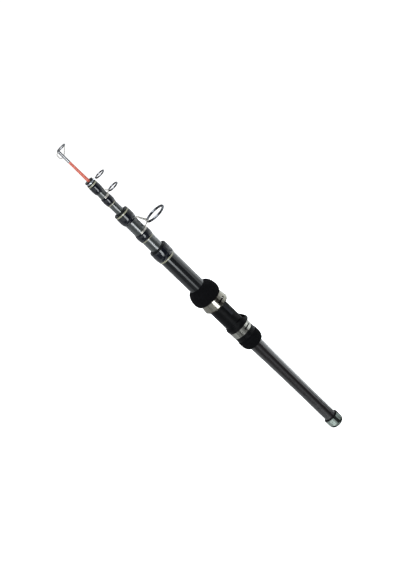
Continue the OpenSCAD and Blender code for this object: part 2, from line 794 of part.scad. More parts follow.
module third_rear_trim() {
    z0 = third_rear_z0 - rear_trim_h;
    z1 = third_rear_z0 - glue;
    color("wheat")
        trim(z0, z1, third_d(z0), third_d(z1), trim_build);
}

module third_ferrule() {
    z0 = third_mouth_z - second_overlap;
    z1 = third_mouth_z - mouth_lip;
    inset = 2 * (third_wall + glue);
    color("black")
        ferrule(z0, z1, third_mouth_z, third_d(z0) - inset, third_d(z1) - inset,
                third_d(z1) + 2 * mouth_build(third_front_build), second_base_d + 2 * slip, second_wedge_d + 2 * slip);
}

module third_blank() {
    z1 = third_mouth_z - mouth_lip - glue;
    color("slategray")
        tapered_tube(third_base_z, z1, third_base_d, third_d(z1), third_wall);
}

module butt_collar() {
    z1 = butt_mouth_z - mouth_lip - glue;
    color("black")
        whipping(collar_z0, z1, butt_d(collar_z0), butt_d(z1), collar_build, mouth_build(collar_build));
}

module butt_collar_trim() {
    z0 = collar_z0 - trim_h;
    z1 = collar_z0 - glue;
    color("wheat")
        trim(z0, z1, butt_d(z0), butt_d(z1), trim_build);
}

module butt_ferrule() {
    z0 = butt_mouth_z - third_overlap;
    z1 = butt_mouth_z - mouth_lip;
    inset = 2 * (butt_wall + glue);
    color("black")
        ferrule(z0, z1, butt_mouth_z, butt_d(z0) - inset, butt_d(z1) - inset,
                butt_d(z1) + 2 * mouth_build(collar_build), third_base_d + 2 * slip, third_wedge_d + 2 * slip);
}

module butt_blank() {
    z1 = butt_mouth_z - mouth_lip - glue;
    color("slategray")
        tapered_tube(butt_z0, z1, butt_rear_d, butt_d(z1), butt_wall);
}

module fore_grip() {
    front_r = butt_d(fore_z1) / 2 + glue + grip_edge;
    wide_z = fixed_z1 + fore_wide_z;
    color([0.06, 0.06, 0.06])
        difference() {
            rotate_extrude()
                polygon(concat(
                    [[0, fixed_z1 + glue]],
                    [for (i = [0 : steps]) let (a = 90 * i / steps)
                        [mix(fore_rear_r, fore_grip_r, sin(a)), mix(wide_z, fixed_z1 + glue, cos(a))]],
                    [for (i = [1 : steps]) let (a = 90 * i / steps)
                        [mix(front_r, fore_grip_r, cos(a)), mix(wide_z, fore_z1, sin(a))]],
                    [[0, fore_z1]]));
            taper(fixed_z1 - cut, fore_z1 + cut,
                  butt_d(fixed_z1) + 2 * glue, butt_d(fore_z1) + 2 * glue);
        }
}

module fixed_hood() {
    bore_r = seat_r + glue;
    crown_x = bed_x + fixed_pocket_h;
    // The bevel goes round the bore and the pocket together
    bevel_r = (crown_x + bore_r) / 2 + fixed_mouth_wall;
    color("lightgray")
        difference() {
            intersection() {
                translate([fixed_shift, 0, 0])
                    taper(fixed_z0, fixed_z1, 2 * (bore_r + fixed_flare_wall), 2 * (bore_r + fixed_end_wall));
                translate([(crown_x - bore_r) / 2, 0, 0])
                    taper(fixed_z0, fixed_z1, 2 * bevel_r, 2 * (bevel_r + fixed_bevel * fixed_hood_len));
            }
            taper(fixed_z0 - cut, fixed_z1 + cut, 2 * bore_r, 2 * bore_r);
            crown(fixed_z0 - cut, pocket_z1, crown_x, roof_r, pocket_drop);
            windows(fixed_z0 + fixed_hood_len / 2, bore_r, bore_r + fixed_flare_wall + fixed_shift);
        }
}

module seat_body() {
    core_r = seat_r - seat_thread_h;
    color([0.08, 0.08, 0.09])
        difference() {
            union() {
                taper(rear_grip_z1, fixed_z1, 2 * core_r, 2 * core_r);
                taper(thread_z1, fixed_z1, 2 * seat_r, 2 * seat_r);
                thread_ridge(rear_grip_z1 + rest_gap, thread_z1, core_r - glue, seat_r, seat_pitch);
            }
            taper(rear_grip_z1 - cut, fixed_z1 + cut,
                  butt_d(rear_grip_z1) + 2 * glue, butt_d(fixed_z1) + 2 * glue);
            translate([bed_x, -seat_r, bed_z0])
                cube([seat_r, 2 * seat_r, pocket_z1 - bed_z0]);
            for (side = [-rail_angle, rail_angle])
                rotate([0, 0, side])
                    translate([seat_r - rail_groove_h, -rail_groove_w / 2, thread_z1])
                        cube([seat_r, rail_groove_w, pocket_z1 - thread_z1]);
            for (side = [-flat_angle, flat_angle])
                rotate([0, 0, side])
                    translate([seat_r - flat_depth, -seat_r, flat_z0])
                        cube([seat_r, 2 * seat_r, pocket_z1 - flat_z0]);
        }
}

module rear_grip() {
    edge_r = handle_d(rear_grip_z0) / 2 + glue + grip_edge;
    dome_z1 = rear_grip_z0 + rear_dome_len;
    rim_r = rear_grip_r - grip_round;
    rim_z = rear_grip_z1 - grip_round;
    color([0.06, 0.06, 0.06])
        difference() {
            rotate_extrude()
                polygon(concat(
                    [[0, rear_grip_z0]],
                    [for (i = [0 : steps]) let (a = 90 * i / steps)
                        [mix(edge_r, rear_grip_r, sin(a)), mix(dome_z1, rear_grip_z0, cos(a))]],
                    [for (i = [0 : steps]) let (a = 90 * i / steps)
                        [rim_r + grip_round * cos(a), rim_z + grip_round * sin(a)]],
                    [[0, rear_grip_z1]]));
            taper(rear_grip_z0 - cut, butt_z0, handle_d(rear_grip_z0) + 2 * glue, handle_front_d + 2 * glue);
            taper(butt_z0 - glue, rear_grip_z1 + cut,
                  butt_rear_d + 2 * glue, butt_d(rear_grip_z1) + 2 * glue);
        }
}

module section_stop() {
    color([0.12, 0.12, 0.12])
        ring(handle_z1, stop_z1, handle_front_d / 2 - handle_wall, handle_front_d / 2);
}

module handle_tube() {
    heights = [for (i = [0 : steps]) mix(handle_z0, butt_z0, i / steps)];
    color([0.25, 0.24, 0.22])
        rotate_extrude()
            polygon(concat(
                [for (z = heights) [handle_d(z) / 2, z]],
                [[handle_front_d / 2, handle_z1], [handle_front_d / 2 - handle_wall, handle_z1]],
                [for (i = [steps : -1 : 0]) [handle_d(heights[i]) / 2 - handle_wall, heights[i]]]));
}

module butt_thread_ring() {
    core_r = thread_ring_r - cap_thread_h;
    color("gray")
        difference() {
            union() {
                taper(handle_z0, cap_len - glue, 2 * core_r, 2 * core_r);
                thread_ridge(handle_z0, cap_len - glue, core_r - glue, thread_ring_r, cap_pitch);
            }
            taper(handle_z0 - cut, cap_len + cut,
                  handle_rear_d + 2 * glue, handle_d(cap_len) + 2 * glue);
        }
}

module cap_gasket() {
    color("black")
        ring(cap_len + slip, gasket_z1, handle_d(gasket_z1) / 2 + glue, handle_d(gasket_z1) / 2 + glue + gasket_wall);
}

module hood_sleeve() {
    crown_x = bed_x + pocket_h;
    mouth_z = band_z1 + glue;
    slope_z = lip_z1 - lip_slope;
    color([0.08, 0.08, 0.09])
        difference() {
            union() {
                taper(hood_z0, slope_z, 2 * sleeve_r, 2 * sleeve_r);
                taper(mouth_z, slope_z, 2 * band_r, 2 * lip_r);
                taper(slope_z, lip_z1, 2 * lip_r, 2 * (hood_bore_r + lip_edge));
                difference() {
                    crown(mouth_z, lip_z1, crown_x + lip_wall, roof_r + lip_wall);
                    translate([hood_bore_r, 0, lip_z1 - lip_back])
                        rotate([0, lip_rake, 0])
                            translate([-2 * lip_r, -2 * lip_r, 0])
                                cube(4 * lip_r);
                }
            }
            taper(hood_z0 - cut, lip_z1 + cut, 2 * hood_bore_r, 2 * hood_bore_r);
            crown(mouth_z + lip_wall, lip_z1 + cut, crown_x, roof_r);
        }
}

module hood_band() {
    color("silver")
        difference() {
            ring(hood_z0, band_z1, sleeve_r + glue, band_r);
            windows(hood_z0 + band_h / 2, sleeve_r, band_r + cut);
        }
}

module lock_nut() {
    nut_r = hood_bore_r + nut_wall;
    color([0.08, 0.08, 0.09])
        difference() {
            ring(nut_z0, nut_z1, hood_bore_r, nut_r);
            for (i = [0 : nut_grooves - 1])
                rotate([0, 0, 360 * i / nut_grooves])
                    translate([nut_r + groove_r / 2, 0, nut_z0 - cut])
                        cylinder(h = nut_h + 2 * cut, r = groove_r, $fn = 24);
        }
}

module butt_pad() {
    color([0.12, 0.12, 0.12])
        taper(cap_floor + glue, pad_z1, 2 * (cap_bore_r - slip), 2 * (cap_bore_r - slip));
}

module butt_cap() {
    color("darkgray")
        difference() {
            rotate_extrude()
                polygon(concat(
                    [[0, 0]],
                    [for (i = [0 : steps]) let (a = 90 * i / steps)
                        [cap_r - cap_round * (1 - sin(a)), cap_round_h * (1 - cos(a))]],
                    [[cap_r, cap_len], [0, cap_len]]));
            taper(cap_floor, cap_len + cut, 2 * cap_bore_r, 2 * cap_bore_r);
        }
}

tip_ring();
tip_brace();
tip_loop();
tip_tube();
tip_solid();
tip_blank();
sliding_guide_ring();
sliding_guide_band();
sliding_guide_bush();
second_guide_ring();
second_guide_frame();
second_front_trim();
second_front_whipping();
second_rear_whipping();
second_rear_trim();
second_ferrule();
second_blank();
third_guide_ring();
third_guide_frame();
third_front_trim();
third_front_whipping();
third_rear_whipping();
third_rear_trim();
third_ferrule();
third_blank();
butt_collar();
butt_collar_trim();
butt_ferrule();
butt_blank();
fore_grip();
fixed_hood();
seat_body();
rear_grip();
section_stop();
handle_tube();
butt_thread_ring();
cap_gasket();
hood_sleeve();
hood_band();
lock_nut();
butt_pad();
butt_cap();
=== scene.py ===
import math
import bpy
from mathutils import Matrix, Vector


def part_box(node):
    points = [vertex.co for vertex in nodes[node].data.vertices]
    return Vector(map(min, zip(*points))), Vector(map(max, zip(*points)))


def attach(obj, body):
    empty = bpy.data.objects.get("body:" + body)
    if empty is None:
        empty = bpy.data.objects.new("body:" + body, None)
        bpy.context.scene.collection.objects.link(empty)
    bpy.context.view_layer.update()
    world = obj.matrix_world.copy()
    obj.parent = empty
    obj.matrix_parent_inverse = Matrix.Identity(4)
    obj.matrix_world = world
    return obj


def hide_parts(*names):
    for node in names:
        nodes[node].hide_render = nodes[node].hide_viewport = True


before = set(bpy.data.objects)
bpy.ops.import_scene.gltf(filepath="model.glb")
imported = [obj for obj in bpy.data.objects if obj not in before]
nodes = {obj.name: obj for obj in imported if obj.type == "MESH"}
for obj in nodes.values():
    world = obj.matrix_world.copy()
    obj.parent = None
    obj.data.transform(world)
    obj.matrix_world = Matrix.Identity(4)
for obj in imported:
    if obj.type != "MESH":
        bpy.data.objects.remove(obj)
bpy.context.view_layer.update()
mm = 0.001
white = (1, 1, 1, 1)
print("frame loaded:", len(nodes), "nodes")


# Small helpers for selecting, node trees and materials
def clearSelection():
    if bpy.context.object and bpy.context.object.mode != "OBJECT":
        bpy.ops.object.mode_set(mode="OBJECT")
    bpy.ops.object.select_all(action="DESELECT")


def addNode(tree, kind, **settings):
    node = tree.nodes.new(kind)
    for key, value in settings.items():
        setattr(node, key, value)
    return node


def feed(tree, socket, value):
    if isinstance(value, bpy.types.NodeSocket):
        tree.links.new(value, socket)
    else:
        socket.default_value = value


def calc(tree, operation, first, second=0.0, third=0.0):
    node = addNode(tree, "ShaderNodeMath", operation=operation)
    for socket, value in zip(node.inputs, (first, second, third)):
        feed(tree, socket, value)
    return node.outputs[0]


def remap(tree, value, low, high, toLow, toHigh):
    node = addNode(tree, "ShaderNodeMapRange")
    for label, amount in zip(("Value", "From Min", "From Max", "To Min", "To Max"),
                             (value, low, high, toLow, toHigh)):
        feed(tree, node.inputs[label], amount)
    return node.outputs["Result"]


def fade(tree, value, low, high):  # 0 at the low value, 1 at the high one
    return remap(tree, value, low, high, 0.0, 1.0)


def between(tree, mask, low, high):  # low where the mask is 0, high where it is 1
    return remap(tree, mask, 0.0, 1.0, low, high)


def blendColours(tree, mask, first, second):
    node = addNode(tree, "ShaderNodeMix", data_type="RGBA")
    feed(tree, node.inputs["Factor"], mask)
    feed(tree, node.inputs["A"], first)
    feed(tree, node.inputs["B"], second)
    return node.outputs["Result"]


def newFinish(name, settings):
    finish = bpy.data.materials.new(name)
    finish.use_nodes = True
    tree = finish.node_tree
    shader = tree.nodes["Principled BSDF"]
    for label, value in settings.items():
        shader.inputs[label].default_value = value
    return finish, tree, shader


# Camera, at the photograph's angle
view = {
    "imageSize": (400, 570),
    "focalPixels": 1600,         # focal length in pixels of that image
    "sensorWidth": 36,
    "distance": 2.0,             # from the point of the rod it is set on
    "aimHeight": 0.255,
    "aimPixel": (205.5, 294.5),  # where that point lands
    "elevation": 19.0,           # degrees above the horizon
    "lean": 45.8,                # degrees that the rod leans to the left
}


def makeCamera():
    tilt = math.radians(view["elevation"])
    back = Vector((0, -math.cos(tilt), math.sin(tilt)))
    roll = Matrix.Rotation(-math.radians(view["lean"]), 3, "Z")
    turn = (-back).to_track_quat("-Z", "Y").to_matrix() @ roll
    width, height = view["imageSize"]
    aimX, aimY = view["aimPixel"]
    pixel = view["distance"] / view["focalPixels"]  # metres a pixel covers at the rod
    offset = Vector((width / 2 - aimX, aimY - height / 2, 0)) * pixel
    place = Vector((0, 0, view["aimHeight"])) + back * view["distance"] + turn @ offset
    bpy.ops.object.camera_add(location=place, rotation=turn.to_euler())
    camera = bpy.context.object
    camera.name = "photoCamera"
    camera.data.sensor_width = view["sensorWidth"]
    camera.data.lens = view["focalPixels"] / max(width, height) * view["sensorWidth"]
    bpy.context.scene.camera = camera


# Studio: pale floor, cards that the lacquer mirrors, three square lights and a dim surround
studio = {
    "floorSide": 60,
    "floorDrop": 0.03,           # room under the butt for the cap to come off
    "floorColour": (0.9, 0.9, 0.9, 1),
    "floorRoughness": 0.9,
    "floorGlow": 1.0,
    "backdrop": 1.0,             # level of the surround for the camera
    "fill": 0.06,                # level of the surround for all else
    "cardColour": (0.95, 1.0, 1.03),
    "cardDistance": 1.2,
    "cards": [                   # name, bearing in degrees, width, low end, high end, level
        ("leftBackLow", -115, 2.2, -0.80, -0.30, 0.8),
        ("leftBackHigh", -115, 2.2, -0.30, 1.00, 0.55),
        ("leftCap", -47, 1.1, -0.80, -0.575, 3.4),
        ("leftSeat", -55, 0.97, -0.28, -0.18, 0.7),
        ("leftButt", -47, 1.1, -0.18, -0.041, 0.12),
        ("leftThird", -47, 1.1, -0.041, 0.09, 0.10),
        ("leftHigh", -47, 1.1, 0.09, 0.35, 0.9),
        ("frontCap", -8, 0.52, -0.80, -0.575, 1.6),
        ("frontHandle", -10, 0.6, -0.55, -0.30, 0.55),
        ("frontSeat", 12, 1.3, -0.30, -0.18, 0.5),
        ("streakFoot", -12.5, 0.48, -0.15, -0.10, 2.4),
        ("streakButt", -12.5, 0.48, -0.10, -0.07, 4.5),
        ("streakTop", -12.5, 0.48, -0.07, -0.041, 6.4),
        ("streakThird", -9, 0.52, -0.041, 0.02, 8.4),
        ("streakHigh", -4, 0.48, 0.02, 0.32, 8.4),
        ("rightHandle", 62, 0.55, -0.53, -0.30, 2.4),
        ("rightSeat", 62, 0.55, -0.30, -0.18, 0.9),
        ("rightButt", 62, 0.55, -0.18, -0.041, 1.2),
        ("rightHigh", 62, 0.55, -0.041, 0.35, 0.45),
        ("farCap", 100, 1.6, -0.80, -0.53, 0.2),
        ("farLow", 115, 2.0, -0.53, -0.46, 4.0),
        ("farHandle", 115, 2.0, -0.46, -0.30, 2.9),
        ("farSeat", 115, 2.0, -0.30, -0.18, 0.55),
        ("farButt", 115, 2.0, -0.18, -0.041, 1.9),
        ("farThird", 115, 2.0, -0.041, 0.03, 1.2),
        ("farHigh", 115, 2.0, 0.03, 1.00, 0.8),
    ],
    "keys": [                    # name, bearing, degrees above the rod's middle, side, level
        ("key", -15, 55, 1.0, 6.5),
        ("backKey", 165, 50, 1.0, 3.0),
        ("below", -20, -80, 1.2, 0.7),
    ],
    "keyDistance": 1.5,
}


def addCard(name, place, target, wide, high, level):
    bpy.ops.object.light_add(type="AREA", location=place)
    lamp = bpy.context.object
    lamp.name = name
    lamp.rotation_euler = (target - place).to_track_quat("-Z", "Y").to_euler()
    lamp.data.shape = "RECTANGLE"
    lamp.data.size = wide
    lamp.data.size_y = high
    lamp.data.energy = level * math.pi * wide * high  # the same brightness at any size
    lamp.data.color = studio["cardColour"]
    lamp.visible_camera = False


def layFloor():
    bpy.ops.mesh.primitive_grid_add(x_subdivisions=2, y_subdivisions=2, size=studio["floorSide"],
                                    location=(0, 0, -studio["floorDrop"]))
    floor = bpy.context.object
    floor.name = "floor"
    finish = newFinish("floorPale", {
        "Base Color": studio["floorColour"],
        "Roughness": studio["floorRoughness"],
        "Emission Color": white,
        "Emission Strength": studio["floorGlow"],
    })[0]
    floor.data.materials.append(finish)
    floor.visible_glossy = False
    floor.visible_diffuse = False
    floor.visible_shadow = False


def hangLights():
    for name, bearing, wide, low, high, level in studio["cards"]:
        turn = math.radians(bearing)
        middle = Vector((0, 0, (low + high) / 2))
        away = Vector((math.sin(turn), -math.cos(turn), 0)) * studio["cardDistance"]
        addCard(name, middle + away, middle, wide, high - low, level)
    middle = Vector((0, 0, view["aimHeight"]))
    for name, bearing, height, side, level in studio["keys"]:
        turn, rise = math.radians(bearing), math.radians(height)
        flat = math.cos(rise)
        away = Vector((math.sin(turn) * flat, -math.cos(turn) * flat, math.sin(rise)))
        addCard(name, middle + away * studio["keyDistance"], middle, side, side, level)


def lightSurround():
    world = bpy.data.worlds.new("surround")
    world.use_nodes = True
    tree = world.node_tree
    back = tree.nodes["Background"]
    seen = addNode(tree, "ShaderNodeLightPath").outputs["Is Camera Ray"]
    feed(tree, back.inputs["Strength"], between(tree, seen, studio["fill"], studio["backdrop"]))
    back.inputs["Color"].default_value = white
    bpy.context.scene.world = world
    bpy.context.scene.view_settings.view_transform = "Standard"


clearSelection()
makeCamera()
layFloor()
hangLights()
lightSurround()
print("camera and studio ready")


# Shared effects, each a node group with its own inputs
def newGroup(name, inputs, outputs):
    tree = bpy.data.node_groups.new(name, "ShaderNodeTree")
    for label, value in inputs.items():
        socket = tree.interface.new_socket(label, in_out="INPUT", socket_type="NodeSocketFloat")
        socket.default_value = value
    for label in outputs:
        tree.interface.new_socket(label, in_out="OUTPUT", socket_type="NodeSocketFloat")
    given = addNode(tree, "NodeGroupInput").outputs
    result = addNode(tree, "NodeGroupOutput").inputs
    place = addNode(tree, "ShaderNodeTexCoord").outputs["Object"]
    return tree, given, result, place


def stretched(tree, place, across, along):
    size = addNode(tree, "ShaderNodeCombineXYZ")
    feed(tree, size.inputs["X"], across)
    feed(tree, size.inputs["Y"], across)
    feed(tree, size.inputs["Z"], along)
    node = addNode(tree, "ShaderNodeVectorMath", operation="MULTIPLY")
    feed(tree, node.inputs[0], place)
    feed(tree, node.inputs[1], size.outputs[0])
    return node.outputs[0]


def noise(tree, place, scale=1.0, detail=2.0, roughness=0.5):
    node = addNode(tree, "ShaderNodeTexNoise")
    feed(tree, node.inputs["Vector"], place)
    feed(tree, node.inputs["Scale"], scale)
    node.inputs["Detail"].default_value = detail
    node.inputs["Roughness"].default_value = roughness
    return node.outputs["Fac"]


def splitPlace(tree, place):
    node = addNode(tree, "ShaderNodeSeparateXYZ")
    feed(tree, node.inputs[0], place)
    return node.outputs


def makeFibreStreaks():  # fibres and sanding marks that run along the rod
    inputs = {"Across": 1500.0, "Along": 40.0}
    tree, given, result, place = newGroup("fibreStreaks", inputs, ["Mask", "Height"])
    drawn = stretched(tree, place, given["Across"], given["Along"])
    grain = noise(tree, drawn, detail=3.0, roughness=0.6)
    feed(tree, result["Mask"], fade(tree, grain, low=0.38, high=0.62))
    feed(tree, result["Height"], grain)
    return tree


def makeThreadTurns():  # turns of thread laid side by side round the rod
    inputs = {"Pitch": 0.22 * mm, "Wander": 0.25}
    tree, given, result, place = newGroup("threadTurns", inputs, ["Height", "Shade"])
    turn = calc(tree, "DIVIDE", splitPlace(tree, place)["Z"], given["Pitch"])
    drift = calc(tree, "MULTIPLY", noise(tree, place, scale=900.0), given["Wander"])
    angle = calc(tree, "MULTIPLY", calc(tree, "ADD", turn, drift), 2 * math.pi)
    feed(tree, result["Height"], fade(tree, calc(tree, "SINE", angle), low=-1.0, high=1.0))
    tone = noise(tree, stretched(tree, place, across=60.0, along=2500.0))
    feed(tree, result["Shade"], fade(tree, tone, low=0.3, high=0.7))
    return tree


def makeFlakes():  # bright flakes in lacquer
    tree, given, result, place = newGroup("flakes", {"Scale": 4000.0, "Share": 0.12}, ["Mask"])
    cells = addNode(tree, "ShaderNodeTexVoronoi")
    feed(tree, cells.inputs["Vector"], place)
    feed(tree, cells.inputs["Scale"], given["Scale"])
    tone = addNode(tree, "ShaderNodeSeparateColor")
    feed(tree, tone.inputs[0], cells.outputs["Color"])
    feed(tree, result["Mask"], calc(tree, "LESS_THAN", tone.outputs["Red"], given["Share"]))
    return tree


def makeHandMarks():  # rubbed patches and hair scratches
    tree, given, result, place = newGroup("handMarks", {"Scale": 220.0}, ["Rub", "Scratch"])
    cloudy = noise(tree, place, given["Scale"], detail=6.0, roughness=0.6)
    feed(tree, result["Rub"], fade(tree, cloudy, low=0.35, high=0.7))
    tilted = addNode(tree, "ShaderNodeMapping")
    tilted.inputs["Rotation"].default_value = (0.6, 0.25, 0.0)  # so that scratches run aslant
    feed(tree, tilted.inputs["Vector"], place)
    hair = noise(tree, stretched(tree, tilted.outputs[0], across=5200.0, along=160.0), detail=1.0)
    feed(tree, result["Scratch"], fade(tree, hair, low=0.68, high=0.74))
    return tree


def makeFoamCells():  # cut cells of closed foam
    tree, given, result, place = newGroup("foamCells", {"Scale": 1700.0}, ["Height", "Shade"])
    cells = addNode(tree, "ShaderNodeTexVoronoi", feature="SMOOTH_F1")
    feed(tree, cells.inputs["Vector"], place)
    feed(tree, cells.inputs["Scale"], given["Scale"])
    cells.inputs["Smoothness"].default_value = 0.35
    soft = noise(tree, place, scale=260.0, detail=4.0)
    dents = calc(tree, "MULTIPLY", soft, 0.8)  # wide and shallow, under the cells
    feed(tree, result["Height"], calc(tree, "ADD", cells.outputs["Distance"], dents))
    feed(tree, result["Shade"], fade(tree, soft, low=0.3, high=0.7))
    return tree


def makeTurningLines():  # fine lines that a lathe tool leaves round a metal piece
    inputs = {"Across": 30.0, "Along": 9000.0}
    tree, given, result, place = newGroup("turningLines", inputs, ["Height", "Shade"])
    lines = noise(tree, stretched(tree, place, given["Across"], given["Along"]))
    feed(tree, result["Height"], lines)
    feed(tree, result["Shade"], fade(tree, lines, low=0.35, high=0.65))
    return tree


def makeArcPatch():  # patches on both sides of the guide plane, by angle from the guides and by height; they mask the painted shade round the hood windows and the painted highlight on the seat
    inputs = {"Angle": 1.0, "Spread": 0.1, "Height": 0.1, "Reach": 0.01}
    tree, given, result, place = newGroup("arcPatch", inputs, ["Mask"])
    parts = splitPlace(tree, place)
    angle = calc(tree, "ARCTAN2", calc(tree, "ABSOLUTE", parts["Y"]), parts["X"])
    inArc = calc(tree, "COMPARE", angle, given["Angle"], given["Spread"])
    inBand = calc(tree, "COMPARE", parts["Z"], given["Height"], given["Reach"])
    feed(tree, result["Mask"], calc(tree, "MULTIPLY", inArc, inBand))
    return tree


effects = {
    "fibre": makeFibreStreaks(),
    "thread": makeThreadTurns(),
    "flakes": makeFlakes(),
    "marks": makeHandMarks(),
    "cells": makeFoamCells(),
    "lines": makeTurningLines(),
    "patch": makeArcPatch(),
}
print("shared effects ready:", ", ".join(effects))


# Finishes, each with its tones as shares of the body colour
def effect(tree, name, **values):
    node = addNode(tree, "ShaderNodeGroup", node_tree=effects[name])
    for label, value in values.items():
        node.inputs[label.capitalize()].default_value = value
    return node.outputs


def shade(colour, share):
    return tuple(channel * share for channel in colour) + (1.0,)


def tones(colour, look):
    return shade(colour, look["darkTone"]), shade(colour, look["lightTone"])


def colourFrom(tree, shader, mask, first, second):
    feed(tree, shader.inputs["Base Color"], blendColours(tree, mask, first, second))


def roughnessFrom(tree, shader, mask, low, high):
    feed(tree, shader.inputs["Roughness"], between(tree, mask, low, high))


def bumpFrom(tree, shader, height, depth):
    node = addNode(tree, "ShaderNodeBump")
    node.inputs["Distance"].default_value = depth
    feed(tree, node.inputs["Height"], height)
    feed(tree, shader.inputs["Normal"], node.outputs["Normal"])


tubeLook = {
    "fibre": {"across": 1500.0, "along": 35.0},
    "flakes": {"scale": 3800.0, "share": 0.14},
    "rubScale": 160.0,
    "darkTone": 0.8,
    "lightTone": 1.35,
    "flakeTone": 2.2,
    "rubbed": 0.12,              # roughness that rubbing adds
    "depth": 0.01 * mm,
}


def lacqueredTube(name, colour, fibre, flake, roughness, shine):
    look = tubeLook
    finish, tree, shader = newFinish(name, shine)
    streaks = effect(tree, "fibre", **look["fibre"])
    streak = calc(tree, "MULTIPLY", streaks["Mask"], fibre)
    body = blendColours(tree, streak, *tones(colour, look))
    spark = calc(tree, "MULTIPLY", effect(tree, "flakes", **look["flakes"])["Mask"], flake)
    colourFrom(tree, shader, spark, body, shade(colour, look["flakeTone"]))
    rub = effect(tree, "marks", scale=look["rubScale"])["Rub"]
    roughnessFrom(tree, shader, rub, roughness, roughness + look["rubbed"])
    bumpFrom(tree, shader, streaks["Height"], look["depth"])
    return finish


threadLook = {
    "darkTone": 0.75,
    "lightTone": 1.3,
    "grooveRoughness": 0.6,
    "crownRoughness": 0.45,
    "depth": 0.02 * mm,
}


def boundThread(name, colour, pitch, shine):
    look = threadLook
    finish, tree, shader = newFinish(name, shine)
    turns = effect(tree, "thread", pitch=pitch)
    colourFrom(tree, shader, turns["Shade"], *tones(colour, look))
    roughnessFrom(tree, shader, turns["Height"], look["grooveRoughness"], look["crownRoughness"])
    bumpFrom(tree, shader, turns["Height"], look["depth"])
    return finish


metalLook = {
    "rubScale": 300.0,
    "lineTone": 0.82,
    # tone of the painted shade round the hood windows
    "slotShadeTone": 0.02,
    "rubbed": 0.08,
    "scratched": 0.15,           # roughness that a scratch adds
    "depth": 0.01 * mm,
}


def wornMetal(name, colour, roughness, lines, slotShade=None):
    look = metalLook
    finish, tree, shader = newFinish(name, {"Metallic": 1.0})
    turned = effect(tree, "lines")
    marks = effect(tree, "marks", scale=look["rubScale"])
    line = calc(tree, "MULTIPLY", turned["Shade"], lines)
    body = blendColours(tree, line, shade(colour, 1.0), shade(colour, look["lineTone"]))
    # painted shade: the metal round each hood window is darkened to near black, as if shade fell into the
    # slot
    if slotShade:
        inSlotShade = effect(tree, "patch", **slotShade)["Mask"]
        body = blendColours(tree, inSlotShade, body, shade(colour, look["slotShadeTone"]))
    feed(tree, shader.inputs["Base Color"], body)
    rough = between(tree, marks["Rub"], roughness, roughness + look["rubbed"])
    scratches = calc(tree, "MULTIPLY", marks["Scratch"], look["scratched"])
    feed(tree, shader.inputs["Roughness"], calc(tree, "ADD", rough, scratches))
    height = calc(tree, "SUBTRACT", calc(tree, "MULTIPLY", turned["Height"], lines), marks["Scratch"])
    bumpFrom(tree, shader, height, look["depth"])
    return finish


wireLook = {"rubScale": 700.0, "rubTone": 0.85, "rubbed": 0.1}


def drawnWire(name, colour, roughness):
    look = wireLook
    finish, tree, shader = newFinish(name, {"Metallic": 1.0})
    rub = effect(tree, "marks", scale=look["rubScale"])["Rub"]
    colourFrom(tree, shader, rub, shade(colour, 1.0), shade(colour, look["rubTone"]))
    roughnessFrom(tree, shader, rub, roughness, roughness + look["rubbed"])
    return finish


mouldLook = {
    "rubScale": 420.0,
    "cellScale": 2600.0,
    "darkTone": 0.85,
    "lightTone": 1.2,
    # how much lighter the painted highlight on the seat is
    "highlightTone": 8.0,
    "rubbed": 0.15,
}


def mouldedBlack(name, colour, roughness, depth, gloss, paintedHighlight=None):
    look = mouldLook
    finish, tree, shader = newFinish(name, {"Specular IOR Level": gloss})
    rub = effect(tree, "marks", scale=look["rubScale"])["Rub"]
    body = blendColours(tree, rub, *tones(colour, look))
    # painted highlight: a lighter stripe along the seat, standing in for light caught by the black plastic
    if paintedHighlight:
        inPaintedHighlight = effect(tree, "patch", **paintedHighlight)["Mask"]
        body = blendColours(tree, inPaintedHighlight, body, shade(colour, look["highlightTone"]))
    feed(tree, shader.inputs["Base Color"], body)
    roughnessFrom(tree, shader, rub, roughness, roughness + look["rubbed"])
    bumpFrom(tree, shader, effect(tree, "cells", scale=look["cellScale"])["Height"], depth)
    return finish


foamLook = {
    "shine": {"Roughness": 0.95, "Specular IOR Level": 0.1},
    "cellScale": 1700.0,
    "darkTone": 0.7,
    "lightTone": 1.4,
    "depth": 0.18 * mm,
}


def foamSkin(name, colour):
    look = foamLook
    finish, tree, shader = newFinish(name, look["shine"])
    cells = effect(tree, "cells", scale=look["cellScale"])
    colourFrom(tree, shader, cells["Shade"], *tones(colour, look))
    bumpFrom(tree, shader, cells["Height"], look["depth"])
    return finish


paintLook = {
    "shine": {"Coat Weight": 0.4, "Coat Roughness": 0.12, "Specular IOR Level": 0.2},
    "fibre": {"across": 2400.0, "along": 60.0},
    "rubScale": 500.0,
    "darkTone": 0.93,
    "lightTone": 1.05,
    "roughness": 0.45,
    "rubbedRoughness": 0.6,
    "depth": 0.005 * mm,
}


def brightPaint(name, colour):
    look = paintLook
    finish, tree, shader = newFinish(name, look["shine"])
    streaks = effect(tree, "fibre", **look["fibre"])
    colourFrom(tree, shader, streaks["Mask"], *tones(colour, look))
    rub = effect(tree, "marks", scale=look["rubScale"])["Rub"]
    roughnessFrom(tree, shader, rub, look["roughness"], look["rubbedRoughness"])
    bumpFrom(tree, shader, streaks["Height"], look["depth"])
    return finish


def clearCoat(gloss, coatRoughness):
    return {"Specular IOR Level": gloss, "Coat Weight": 1.0, "Coat Roughness": coatRoughness, "Coat IOR": 1.5}


